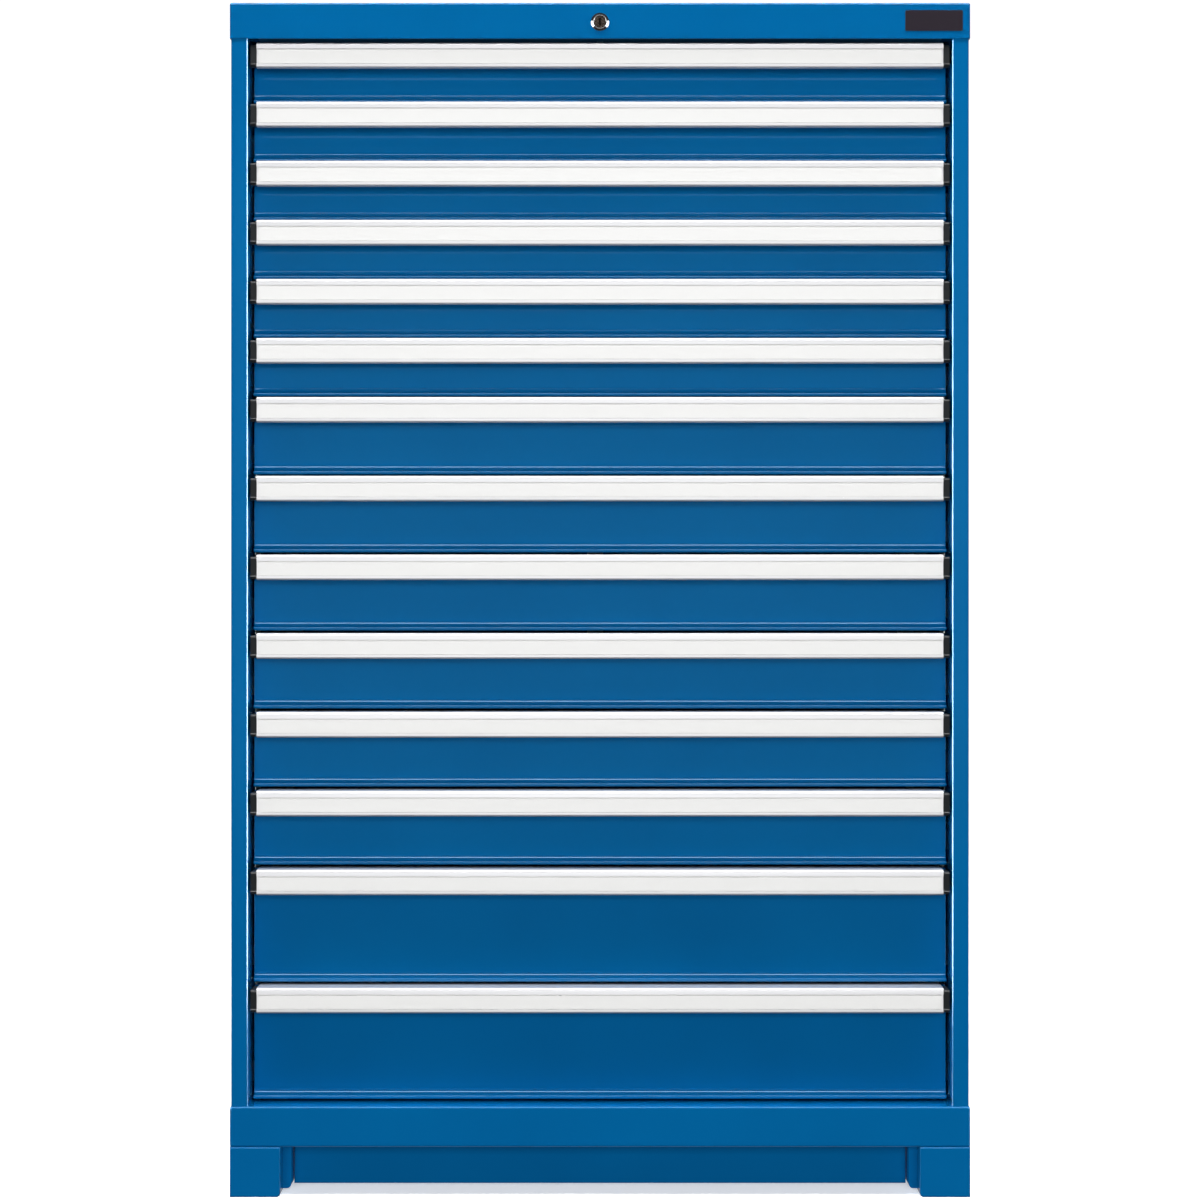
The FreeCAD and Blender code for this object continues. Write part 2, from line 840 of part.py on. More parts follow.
def tang(rear):
    """Flat end of the plug, which sits in the rod's socket."""
    return box(
        -tang_width / 2, tang_width / 2,
        rear, rear + tang_length, lock_z - tang_height / 2, lock_z + tang_height / 2)


def lock_rod():
    """Torque rod from the plug to the rear, with a crank whose pin lifts the lock bar."""
    front = front_y + barrel_length
    shaft_front = front + rod_socket_length
    socket = rod(rod_socket_radius, V(0, front, lock_z), V(0, rod_socket_length, 0)).cut(tang(front))
    shaft = rod(rod_radius, V(0, shaft_front, lock_z), V(0, crank_front - shaft_front, 0))
    crank = rod(crank_radius, V(0, crank_front, lock_z), V(0, crank_sheet, 0))
    pin_start = V(-crank_pin_rest, crank_front + crank_sheet, lock_z - crank_pin_rest)
    pin = rod(crank_pin_radius, pin_start, V(0, 2 * bar_gap + bar_sheet, 0))
    return socket.fuse(shaft).fuse(crank).fuse(pin)


def lock_bar():
    """Flat bar that slides up and down at the rear, with one lug beside each drawer's catch."""
    low = min(bottom for number, bottom, height in drawer_places()) + catch_height - lug_gap - lug_height
    pin_z = lock_z - crank_pin_rest
    bar = box(bar_left, bar_right, bar_front, bar_rear, low - bar_bottom_margin, pin_z + bar_top_margin)
    for number, bottom, height in drawer_places():
        lug_top = bottom + catch_height - lug_gap
        lug_bottom = lug_top - lug_height
        bar = bar.fuse(box(bar_left - lug_length, bar_left, bar_front, bar_rear, lug_bottom, lug_top))
    bar = bar.removeSplitter()
    half = crank_pin_radius + crank_pin_clearance
    slot = box(
        -crank_pin_reach - half, half - crank_pin_rest,
        bar_front, bar_rear, pin_z - half, pin_z + half)
    return bar.cut(slot)


def bar_guide(bottom):
    """Block on the back panel that the lock bar slides through."""
    z = bottom + catch_height + guide_above_catch
    block = box(
        bar_left - guide_wall, bar_right + guide_wall,
        bar_front - guide_wall, back_inner, z - guide_height / 2, z + guide_height / 2)
    return block.cut(box(
        bar_left - guide_clearance, bar_right + guide_clearance,
        bar_front - guide_clearance, bar_rear + guide_clearance,
        z - guide_height / 2, z + guide_height / 2))


def rod_hanger():
    """Plate under the cap that carries the rear end of the torque rod."""
    start = crank_front - rod_hanger_from_crank
    plate = box(
        -rod_hanger_width / 2, rod_hanger_width / 2,
        start, start + rod_hanger_sheet, lock_z - rod_hanger_drop, panel_top)
    return plate.cut(rod(rod_radius + rod_clearance, V(0, start, lock_z), V(0, rod_hanger_sheet, 0)))


def blank_plate():
    """Plain plate at the right of the cap, with no marking."""
    right = half_width - plate_from_side
    left = right - plate_width
    low = cabinet_height - plate_below_top - plate_height / 2
    corners = [(left, low), (right, low), (right, low + plate_height), (left, low + plate_height)]
    return prism([(x, z, plate_corner) for x, z in corners], "y", front_y - plate_sheet, front_y)


# Writing the sub-parts

os.makedirs("parts", exist_ok=True)

right_panel = side_panel()
export("right_side_panel", right_panel)
export("left_side_panel", mirrored(right_panel))
export("back_panel", back_panel())
export("top_cover", top_cover())
export("bottom_deck", bottom_deck())
right_channel = base_channel()
export("base_channels", right_channel, mirrored(right_channel))
export("corner_feet", *feet())
front_kick = kick_panel()
export("front_kick_panel", front_kick)
export("rear_kick_panel", front_kick.mirror(V(0, 0, 0), V(0, 1, 0)))
export("blank_plate", blank_plate())
export("back_panel_screws", *[
    back_screw(x, z) for z in screw_heights() for x in (-back_screw_x(), back_screw_x())])

uprights = [upright(front_upright_y), upright(rear_upright_y)]
export("slotted_uprights", *uprights, *[mirrored(post) for post in uprights])
runners = [fixed_runner(bottom) for number, bottom, height in drawer_places()]
export("fixed_runners", *runners, *[mirrored(runner) for runner in runners])

export("lock_housing", *lock_housing())
export("lock_plug", lock_plug())
export("lock_rod", lock_rod())
export("lock_bar", lock_bar())
guides = [bar_guide(bottom) for number, bottom, height in drawer_places() if number in guided_drawers]
export("lock_guides", rod_hanger(), *guides)

for number, bottom, height in drawer_places():
    name = "drawer_%02d" % number
    top = bottom + height
    rail = drawer_rail(bottom)
    export(name + "_box", drawer_tray(bottom, height), drawer_front(bottom, height),
           rail, mirrored(rail), drawer_catch(bottom))
    cheek = end_cap(top)
    export(name + "_handle", handle_extrusion(top), label_strip(top), cheek, mirrored(cheek))
    right_carriage = carriage(bottom)
    export(name + "_carriage", *right_carriage, *[mirrored(piece) for piece in right_carriage])
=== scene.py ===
# A modular drawer cabinet in gentian-blue powder coat, with aluminium grips, in a plain white studio.
# Metres. The housing's front faces -Y and it stands on Z = 0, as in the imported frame.

import bmesh
import bpy
import json
import math
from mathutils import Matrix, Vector

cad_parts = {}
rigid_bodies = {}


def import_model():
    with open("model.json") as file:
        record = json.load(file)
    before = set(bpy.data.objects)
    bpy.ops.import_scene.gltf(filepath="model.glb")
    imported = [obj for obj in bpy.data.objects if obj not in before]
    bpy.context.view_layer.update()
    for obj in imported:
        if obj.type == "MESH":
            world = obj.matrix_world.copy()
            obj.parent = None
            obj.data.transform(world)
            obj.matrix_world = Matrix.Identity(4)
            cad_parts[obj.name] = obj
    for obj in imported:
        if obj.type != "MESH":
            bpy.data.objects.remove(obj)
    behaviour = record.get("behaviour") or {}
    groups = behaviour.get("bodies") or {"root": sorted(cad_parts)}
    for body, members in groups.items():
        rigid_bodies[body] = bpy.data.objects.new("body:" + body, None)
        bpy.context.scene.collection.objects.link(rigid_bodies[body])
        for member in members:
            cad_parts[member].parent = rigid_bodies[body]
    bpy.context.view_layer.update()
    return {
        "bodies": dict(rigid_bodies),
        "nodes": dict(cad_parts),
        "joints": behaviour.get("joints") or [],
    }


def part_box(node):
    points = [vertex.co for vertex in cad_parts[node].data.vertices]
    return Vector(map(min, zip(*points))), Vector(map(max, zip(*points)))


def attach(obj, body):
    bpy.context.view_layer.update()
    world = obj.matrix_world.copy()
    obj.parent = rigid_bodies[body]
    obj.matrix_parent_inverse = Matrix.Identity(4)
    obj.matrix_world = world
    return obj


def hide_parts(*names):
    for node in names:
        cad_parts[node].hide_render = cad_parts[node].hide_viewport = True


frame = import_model()
mm = 0.001


# Studio: a pale floor, a low wide softbox behind the camera and a long narrow one overhead. Strips at both
# sides and above show only in gloss, as bright lines in the folds of the sheet metal. The camera stands
# level, three metres from the housing.

def add(tree, kind, inputs=None, **settings):
    """Adds a node, sets its fields, and sets or links its sockets by name or number."""
    made = tree.nodes.new(kind)
    for field, value in settings.items():
        setattr(made, field, value)
    for socket, value in (inputs or {}).items():
        if isinstance(value, bpy.types.NodeSocket):
            tree.links.new(value, made.inputs[socket])
        else:
            made.inputs[socket].default_value = value
    return made


def linear(hex_colour, red=1.0, green=1.0, blue=1.0):
    """A colour socket's value for an sRGB hex colour, with its channels scaled after that."""
    channels = [int(hex_colour[i:i + 2], 16) / 255 for i in (1, 3, 5)]
    values = [c / 12.92 if c <= 0.04045 else ((c + 0.055) / 1.055) ** 2.4 for c in channels]
    return [value * share for value, share in zip(values, (red, green, blue))] + [1.0]


def link_object(name, data):
    """A scene object for a mesh, light or camera."""
    made = bpy.data.objects.new(name, data)
    bpy.context.scene.collection.objects.link(made)
    return made


def new_material(name):
    """A material with a Principled shader, and that shader's tree."""
    material = bpy.data.materials.new(name)
    material.use_nodes = True
    return material, material.node_tree, material.node_tree.nodes["Principled BSDF"]


front_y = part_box("top_cover")[0].y
camera_distance = 3.0
camera_height = 0.737
# The photograph's scale at the housing's front, and its width in pixels.
photo_pixel = 1.2335 * mm
photo_pixels = 1200
frame_width = photo_pixels * photo_pixel
sensor = 36.0

camera_data = bpy.data.cameras.new("camera")
camera_data.sensor_width = sensor
camera_data.lens = sensor * camera_distance / frame_width
camera = link_object("camera", camera_data)
camera.location = (0.0, front_y - camera_distance, camera_height)
camera.rotation_euler = (math.radians(90), 0, 0)
bpy.context.scene.camera = camera
bpy.context.scene.view_settings.view_transform = "Standard"


def softbox(name, place, target, width, height, brightness, matt=True, gloss=True):
    """A rectangular studio light aimed at a point. It can be left out of matt shading or out of gloss."""
    data = bpy.data.lights.new(name, "AREA")
    data.shape = "RECTANGLE"
    data.size = width
    data.size_y = height
    data.energy = brightness * math.pi * width * height
    light = link_object(name, data)
    light.location = place
    light.rotation_euler = (Vector(target) - Vector(place)).to_track_quat("-Z", "Y").to_euler()
    light.visible_diffuse = matt
    light.visible_glossy = gloss
    return light


softbox("key_softbox", (0.0, -5.4, 1.1), (0.0, front_y, 1.1),
        width=3.9, height=2.2, brightness=9.6, gloss=False)

# The overhead light is two in one place, so that its gloss alone can be kept off the lock.
overhead = {"place": (0.0, -1.75, 6.0), "target": (0.0, -1.75, 0.0),
            "width": 5.0, "height": 0.9, "brightness": 42.0}
softbox("overhead_softbox", gloss=False, **overhead)
overhead_glow = softbox("overhead_glow", matt=False, **overhead)

grip_glow = softbox("grip_softbox", (0.0, -5.3, 0.6), (0.0, front_y, 0.6),
                    width=3.9, height=3.8, brightness=4.1, matt=False)
left_strip, right_strip = [
    softbox(name, (x, -1.75, 1.0), (0.0, front_y, 1.0), width=2.6, height=2.8, brightness=36.0, matt=False)
    for name, x in (("left_strip", -3.0), ("right_strip", 3.0))]
fold_strip = softbox("fold_strip", (0.0, -3.2, 3.9), (0.0, front_y, 0.8),
                     width=5.0, height=0.8, brightness=9.0, matt=False)
cap_strip = softbox("cap_strip", (0.0, -2.7, 4.55), (0.0, front_y, 1.47),
                    width=5.0, height=0.8, brightness=26.0, matt=False)
lock_glow = softbox("lock_softbox", (0.0, -5.2, 1.1), (0.0, front_y, 1.1),
                    width=3.9, height=2.2, brightness=1.3, matt=False)
lock_strips = [
    softbox(name, (x, -1.7, 1.3), (0.0, front_y, 1.3), width=1.9, height=2.4, brightness=4.0, matt=False)
    for name, x in (("left_lock_strip", -3.0), ("right_lock_strip", 3.0))]

# The room is white to the camera. Its half behind the housing lights the housing, but shows less in gloss.
# Its half behind the camera is almost dark, so that the flat fronts keep their colour.
white_to_camera = 1.1
lit_half = 1.1
glossy_half = 0.32
dark_half = 0.02
dark_until = -0.3
lit_from = 0.1
world = bpy.data.worlds.new("studio")
world.use_nodes = True
sky = world.node_tree
direction = add(sky, "ShaderNodeTexCoord")
along = add(sky, "ShaderNodeSeparateXYZ", {0: direction.outputs["Generated"]})
ray = add(sky, "ShaderNodeLightPath")
lit = add(sky, "ShaderNodeMapRange", {
    "Value": ray.outputs["Is Glossy Ray"], "To Min": lit_half, "To Max": glossy_half})
halves = add(sky, "ShaderNodeMapRange", {
    "Value": along.outputs["Y"], "From Min": dark_until, "From Max": lit_from,
    "To Min": dark_half, "To Max": lit.outputs["Result"]}, interpolation_type="SMOOTHSTEP")
seen = add(sky, "ShaderNodeMapRange", {
    "Value": ray.outputs["Is Camera Ray"], "To Min": halves.outputs["Result"], "To Max": white_to_camera})
sky.links.new(seen.outputs["Result"], sky.nodes["Background"].inputs["Strength"])
sky.nodes["Background"].inputs["Color"].default_value = linear("#FFFFFF")
bpy.context.scene.world = world

# The floor is a matt painted board that glows faintly, like a light table, so that it stays white. Only the
# camera sees it: it throws no light back and doesn't show in the gloss.
floor_half = 14.0
floor_mesh = bpy.data.meshes.new("floor")
floor_mesh.from_pydata(
    [(-floor_half, -floor_half, 0), (floor_half, -floor_half, 0),
     (floor_half, floor_half, 0), (-floor_half, floor_half, 0)], [], [(0, 1, 2, 3)])
floor = link_object("floor", floor_mesh)
floor_paint, _, floor_shader = new_material("pale_floor_paint")
floor_shader.inputs["Base Color"].default_value = linear("#F8F8F8")
floor_shader.inputs["Roughness"].default_value = 0.7
floor_shader.inputs["Specular IOR Level"].default_value = 0.2
floor_shader.inputs["Emission Color"].default_value = linear("#FFFFFF")
floor_shader.inputs["Emission Strength"].default_value = 0.45
floor_mesh.materials.append(floor_paint)
floor.visible_diffuse = False
floor.visible_glossy = False
floor.visible_shadow = False


# Housing: folded 1.5 mm steel sheet in gentian-blue polyester powder coat, baked to a satin film.
# The film has a faint orange peel a few millimetres across, and its colour clouds very slightly.

def powder_coat(name, hex_colour):
    """Baked polyester powder: saturated blue with faint orange peel and a clear skin that glints in folds."""
    material, tree, shader = new_material(name)
    place = add(tree, "ShaderNodeTexCoord").outputs["Object"]
    peel_size = 3.5 * mm
    peel = add(tree, "ShaderNodeTexNoise", {"Vector": place, "Scale": 1 / peel_size, "Detail": 2.0})
    cloud_size = 160 * mm
    cloud = add(tree, "ShaderNodeTexNoise", {"Vector": place, "Scale": 1 / cloud_size, "Detail": 3.0})
    ramp = add(tree, "ShaderNodeValToRGB", {"Fac": cloud.outputs["Fac"]})
    ramp.color_ramp.elements[0].position = 0.3
    ramp.color_ramp.elements[0].color = linear(hex_colour, green=0.95, blue=0.96)
    ramp.color_ramp.elements[1].position = 0.7
    ramp.color_ramp.elements[1].color = linear(hex_colour, green=1.04, blue=1.03)
    tree.links.new(ramp.outputs["Color"], shader.inputs["Base Color"])
    grain = add(tree, "ShaderNodeMapRange", {
        "Value": peel.outputs["Fac"], "From Min": 0.3, "From Max": 0.7, "To Min": 0.12, "To Max": 0.16})
    tree.links.new(grain.outputs["Result"], shader.inputs["Roughness"])
    bump = add(tree, "ShaderNodeBump", {
        "Height": peel.outputs["Fac"], "Strength": 0.08, "Distance": 0.1 * mm})
    tree.links.new(bump.outputs["Normal"], shader.inputs["Normal"])
    shader.inputs["IOR"].default_value = 1.5
    shader.inputs["Specular IOR Level"].default_value = 0.8
    shader.inputs["Specular Tint"].default_value = linear("#5CB8EC")
    shader.inputs["Coat Weight"].default_value = 0.7
    shader.inputs["Coat Roughness"].default_value = 0.07
    return material


def coat_node(node, material):
    """Gives a CAD sub-part its finish."""
    slots = frame["nodes"][node].data.materials
    slots.clear()
    slots.append(material)


gentian_coat = powder_coat("gentian_blue_powder_coat", "#00588F")
for node in ("top_cover", "right_side_panel", "left_side_panel", "back_panel", "bottom_deck",
             "base_channels", "corner_feet", "front_kick_panel", "rear_kick_panel"):
    coat_node(node, gentian_coat)


# Slide steel: uprights and runners of hot-dip galvanised sheet, left bare inside the housing.
# Its zinc crystals are 3 to 8 mm across and each reflects a little differently.

def galvanised_steel(name, hex_colour):
    """Zinc spangle on sheet steel: a dull metal whose crystals differ in brightness and roughness."""
    material, tree, shader = new_material(name)
    place = add(tree, "ShaderNodeTexCoord").outputs["Object"]
    crystal_size = 5 * mm
    crystals = add(tree, "ShaderNodeTexVoronoi", {"Vector": place, "Scale": 1 / crystal_size})
    shade = add(tree, "ShaderNodeSeparateColor", {"Color": crystals.outputs["Color"]})
    ramp = add(tree, "ShaderNodeValToRGB", {"Fac": shade.outputs["Red"]})
    ramp.color_ramp.elements[0].color = linear(hex_colour, 0.9, 0.9, 0.91)
    ramp.color_ramp.elements[1].color = linear(hex_colour, 1.05, 1.05, 1.05)
    tree.links.new(ramp.outputs["Color"], shader.inputs["Base Color"])
    dullness = add(tree, "ShaderNodeMapRange", {
        "Value": shade.outputs["Green"], "To Min": 0.38, "To Max": 0.48})
    tree.links.new(dullness.outputs["Result"], shader.inputs["Roughness"])
    shader.inputs["Metallic"].default_value = 1.0
    return material


zinc = galvanised_steel("galvanised_steel", "#B9BDC0")
for node in ("slotted_uprights", "fixed_runners", "lock_rod", "lock_bar", "lock_guides"):
    coat_node(node, zinc)


# Drawer fronts: a shallow folded tray of 1.5 mm sheet for each drawer, in the same blue powder coat.
# The lower edge flares out in a cove to a rounded nose, and the two ends are folded back.

drawers = sorted(body for body in frame["bodies"] if body.startswith("drawer_"))
front_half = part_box("drawer_01_box")[1].x
handle_depth = 36.0 * mm
handle_wall = 2.0 * mm
face_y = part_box("drawer_01_handle")[0].y + handle_depth
front_sheet = 1.5 * mm
front_depth = 18.0 * mm
front_corner = 2.0 * mm
front_end_round = 1.0 * mm
lip_flare = 7.0 * mm
lip_nose = 2.5 * mm
lip_angle = math.radians(70)
lip_cove = lip_flare / (1 - math.cos(lip_angle)) - lip_nose


def lower_edge(drawer):
    """Height of the lower edge of a drawer's front."""
    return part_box(drawer + "_box")[0].z


def upper_edge(drawer):
    """Height of the top of a drawer's grip."""
    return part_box(drawer + "_handle")[1].z


def arc(centre, radius, start, end, steps):
    """Points of an arc between two angles in radians, both ends included."""
    angles = [start + (end - start) * i / steps for i in range(steps + 1)]
    return [(centre[0] + radius * math.cos(a), centre[1] + radius * math.sin(a)) for a in angles]


def front_profile(bottom, top, inset):
    """Side view (y, z) of a front's skin, moved inwards: upper return, face, cove, nose, lower return."""
    reach = lip_cove + lip_nose
    cove_centre = (face_y - lip_cove, bottom + lip_nose + reach * math.sin(lip_angle))
    nose_centre = (face_y - lip_cove + reach * math.cos(lip_angle), bottom + lip_nose)
    crown_centre = (face_y + front_corner, top - front_corner)
    crown = arc(crown_centre, front_corner - inset, math.pi / 2, math.pi, steps=5)
    hollow = arc(cove_centre, lip_cove + inset, 0, -lip_angle, steps=10)
    nose = arc(nose_centre, lip_nose - inset, math.pi - lip_angle, 1.5 * math.pi, steps=12)
    back = face_y + front_depth
    return [(back, top - inset)] + crown + hollow[:-1] + nose + [(back, bottom + inset)]


def lofted(sections, closed=True, ends=(True, True)):
    """A form through cross-sections. Closed sections are rings, open ones are sheets."""
    form = bmesh.new()
    rows = [[form.verts.new(point) for point in section] for section in sections]
    count = len(rows[0])
    for here, there in zip(rows, rows[1:]):
        for i in range(count if closed else count - 1):
            j = (i + 1) % count
            form.faces.new((here[i], here[j], there[j], there[i]))
    if ends[0]:
        form.faces.new(rows[0][::-1])
    if ends[1]:
        form.faces.new(rows[-1])
    return form


def new_piece(name, material, *forms):
    """An object whose mesh holds the given forms, which are used up."""
    mesh = bpy.data.meshes.new(name)
    whole = bmesh.new()
    for form in forms:
        form.to_mesh(mesh)
        form.free()
        whole.from_mesh(mesh)
    whole.to_mesh(mesh)
    whole.free()
    mesh.materials.append(material)
    return link_object(name, mesh)


def settle(piece):
    """Turns a piece with modifiers into a plain mesh."""
    graph = bpy.context.evaluated_depsgraph_get()
    plain = bpy.data.meshes.new_from_object(piece.evaluated_get(graph))
    piece.modifiers.clear()
    piece.data = plain


def thicken(piece, thickness):
    """Gives a skin its sheet thickness, behind its outward side."""
    sheet = piece.modifiers.new("sheet", "SOLIDIFY")
    sheet.thickness = thickness
    sheet.offset = -1.0
    sheet.use_even_offset = True


def smooth(piece, crease=40):
    """Shades a piece smooth between its creases, with its flat faces left flat."""
    settle(piece)
    piece.data.shade_smooth()
    piece.data.set_sharp_from_angle(angle=math.radians(crease))
    flats = piece.modifiers.new("flats", "WEIGHTED_NORMAL")
    flats.keep_sharp = True
    settle(piece)


def fit(piece, body, node):
    """Attaches a piece to what it rides on, and hides the CAD sub-part that it stands for."""
    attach(piece, body)
    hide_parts(node)


# Each end is rounded in steps of 30 degrees, and the profile shrinks with it.
for drawer in drawers:
    left_end = []
    for slant in (math.radians(turn) for turn in (90, 60, 30, 0)):
        x = front_half - front_end_round * (1 - math.sin(slant))
        inset = front_end_round * (1 - math.cos(slant))
        left_end.append((-x, front_profile(lower_edge(drawer), upper_edge(drawer) - handle_wall, inset)))
    stations = left_end + [(-x, profile) for x, profile in reversed(left_end)]
    front = new_piece(drawer + "_front", gentian_coat, lofted(
        [[(x, y, z) for y, z in profile] for x, profile in stations], closed=False))
    thicken(front, front_sheet)
    smooth(front)
    fit(front, drawer, drawer + "_box")


# Drawer trays: floor, sides and rear wall of 1.2 mm sheet, spot-welded behind the front and powder-coated
# with it. The side walls end in rims folded outwards.

housing_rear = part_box("top_cover")[1].y
tray_sheet = 1.2 * mm
tray_bend = 2.0 * mm
rim_bend = 0.5 * mm
tray_half = 403.0 * mm
tray_rim = 6.0 * mm
tray_floor = 12.5 * mm
tray_headroom = 12.0 * mm
tray_front = face_y + front_sheet
tray_rear = housing_rear - 37.0 * mm


def rounded_outline(corners, steps=5):
    """Points (u, v) of an outline. A corner given as (u, v, radius) is rounded."""
    points = []
    for i, (u, v, *rounding) in enumerate(corners):
        if not rounding:
            points.append((u, v))
            continue
        corner = Vector((u, v))
        before = (Vector(corners[i - 1][:2]) - corner).normalized()
        after = (Vector(corners[(i + 1) % len(corners)][:2]) - corner).normalized()
        half = before.angle(after) / 2
        centre = corner + (before + after).normalized() * (rounding[0] / math.sin(half))
        start = corner + before * (rounding[0] / math.tan(half)) - centre
        end = corner + after * (rounding[0] / math.tan(half)) - centre
        for k in range(steps + 1):
            points.append(tuple(centre + start.slerp(end, k / steps) * rounding[0]))
    return points


for drawer in drawers:
    floor_z = lower_edge(drawer) + tray_floor
    rim_z = upper_edge(drawer) - tray_headroom
    section = rounded_outline([
        (-tray_half - tray_rim, rim_z),
        (-tray_half, rim_z, rim_bend),
        (-tray_half, floor_z, tray_bend),
        (tray_half, floor_z, tray_bend),
        (tray_half, rim_z, rim_bend),
        (tray_half + tray_rim, rim_z)])
    trough = lofted([[(x, y, z) for x, z in section] for y in (tray_rear, tray_front)],
                    closed=False, ends=(False, False))
    inside = tray_half - tray_sheet
    rear_wall = lofted([[(x, tray_rear, floor_z + tray_sheet), (x, tray_rear, rim_z)]
                        for x in (-inside, inside)], closed=False, ends=(False, False))
    tray = new_piece(drawer + "_tray", gentian_coat, trough, rear_wall)
    thicken(tray, tray_sheet)
    smooth(tray)
    fit(tray, drawer, drawer + "_box")


# Drawer rails and catch: galvanised channels riveted to the sides of the tray, closed at both ends, and a
# bent bracket behind the tray. The lock bar's lug stands in front of the bracket when the lock is shut.

rail_sheet = 1.5 * mm
rail_bend = 1.8 * mm
rail_tip = 415.5 * mm
rail_height = 25.0 * mm
slide_height = 28.0 * mm
rail_front = face_y + front_depth + 4.0 * mm
rail_rear = housing_rear - 43.0 * mm
catch_below_rim = 8.0 * mm
catch_drop = 13.5 * mm
catch_width = 12.0 * mm
catch_rear = housing_rear - 8.0 * mm
catch_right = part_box("lock_bar")[0].x + 13.25 * mm
catch_top = upper_edge("drawer_01") - tray_headroom - catch_below_rim - lower_edge("drawer_01")

for drawer in drawers:
    middle = lower_edge(drawer) + slide_height
    high = middle + rail_height / 2
    low = middle - rail_height / 2
    section = rounded_outline([
        (rail_tip, high), (tray_half, high, rail_bend), (tray_half, low, rail_bend), (rail_tip, low)])
    mirror = [(-x, z) for x, z in reversed(section)]
    channels = [
        lofted([[(x, y, z) for x, z in outline] for y in (rail_rear, rail_front)], closed=False)
        for outline in (section, mirror)]
    lip_top = lower_edge(drawer) + catch_top
    bracket = rounded_outline([
        (tray_rear, lip_top), (catch_rear, lip_top, rail_bend), (catch_rear, lip_top - catch_drop)])
    catch = lofted([[(x, y, z) for y, z in bracket] for x in (catch_right, catch_right - catch_width)],
                   closed=False, ends=(False, False))
    rails = new_piece(drawer + "_rails", zinc, *channels, catch)
    thicken(rails, rail_sheet)
    smooth(rails)
    fit(rails, drawer, drawer + "_box")


# Grips: one full-width aluminium extrusion for each drawer, clear-anodised after extrusion and hooked
# over the front's upper edge. It has a label channel in front and a rolled hook for the fingers.

grip_height = 31.5 * mm
grip_half = 424.0 * mm
lip_face = 35.3 * mm
channel_face = 34.2 * mm
upper_lip = 8.0 * mm
lower_lip = 26.8 * mm
lip_thickness = 0.8 * mm
grip_top_corner = 4.0 * mm
grip_low_corner = 2.5 * mm
inner_corner = 1.0 * mm
inner_face = 33.0 * mm
finger_roll = 27.0 * mm
roll_thickness = 1.8 * mm
rolled = 0.8 * mm
hook_reach = 6.0 * mm
hook_low = 20.0 * mm


def anodised(name, hex_colour):
    """Satin anodised extrusion: a pale metal with die lines along it, drawn 1.2 mm apart to show."""
    material, tree, shader = new_material(name)
    place = add(tree, "ShaderNodeTexCoord").outputs["Object"]
    line_length = 500 * mm
    line_pitch = 1.2 * mm
    stretched = add(tree, "ShaderNodeMapping", {
        "Vector": place, "Scale": (1 / line_length, 1 / line_pitch, 1 / line_pitch)})
    lines = add(tree, "ShaderNodeTexNoise", {"Vector": stretched.outputs[0], "Scale": 1.0, "Detail": 2.0})
    ramp = add(tree, "ShaderNodeValToRGB", {"Fac": lines.outputs["Fac"]})
    ramp.color_ramp.elements[0].color = linear(hex_colour, 0.95, 0.95, 0.955)
    ramp.color_ramp.elements[1].color = linear(hex_colour)
    tree.links.new(ramp.outputs["Color"], shader.inputs["Base Color"])
    dullness = add(tree, "ShaderNodeMapRange", {
        "Value": lines.outputs["Fac"], "To Min": 0.5, "To Max": 0.62})
    tree.links.new(dullness.outputs["Result"], shader.inputs["Roughness"])
    bump = add(tree, "ShaderNodeBump", {
        "Height": lines.outputs["Fac"], "Strength": 0.1, "Distance": 0.05 * mm})
    tree.links.new(bump.outputs["Normal"], shader.inputs["Normal"])
    shader.inputs["Metallic"].default_value = 1.0
    return material


def hung(points, drawer):
    """Side view (y, z) of an outline given in front of the drawer's face and below the grip's top."""
    return [(face_y - out, upper_edge(drawer) - down, *radius) for out, down, *radius in points]


def bar(outline, left, right):
    """A straight form with one side view, from one x to another."""
    return lofted([[(x, y, z) for y, z in outline] for x in (left, right)])


satin_aluminium = anodised("satin_anodised_aluminium", "#CCCCCE")
grip_outline = [
    (-hook_reach, 0.0), (handle_depth, 0.0, grip_top_corner), (handle_depth, upper_lip),
    (lip_face, upper_lip), (lip_face, upper_lip - lip_thickness), (channel_face, upper_lip - lip_thickness),
    (channel_face, lower_lip + lip_thickness), (lip_face, lower_lip + lip_thickness),
    (lip_face, lower_lip), (handle_depth, lower_lip), (handle_depth, grip_height, grip_low_corner),
    (finger_roll, grip_height, rolled), (finger_roll, grip_height - roll_thickness, rolled),
    (inner_face, grip_height - roll_thickness, rolled), (inner_face, handle_wall, inner_corner),
    (handle_wall, handle_wall, rolled), (handle_wall, hook_low, rolled), (0.0, hook_low),
    (0.0, handle_wall), (-hook_reach, handle_wall)]

for drawer in drawers:
    grip = new_piece(drawer + "_grip", satin_aluminium,
                     bar(rounded_outline(hung(grip_outline, drawer)), -grip_half, grip_half))
    smooth(grip)
    fit(grip, drawer, drawer + "_handle")


# Label strips: a white card under a clear PVC strip, slid into the grip's channel from one end.
# The strip is 1.4 mm thick in its window and thinner along the two edges that the lips hold.

label_half = 422.0 * mm
label_back = 34.3 * mm
label_shoulder = 34.6 * mm
label_window = 35.65 * mm
label_top = 7.4 * mm
label_low = 27.4 * mm
window_top = 9.1 * mm
window_low = 26.4 * mm
window_edge = 0.3 * mm


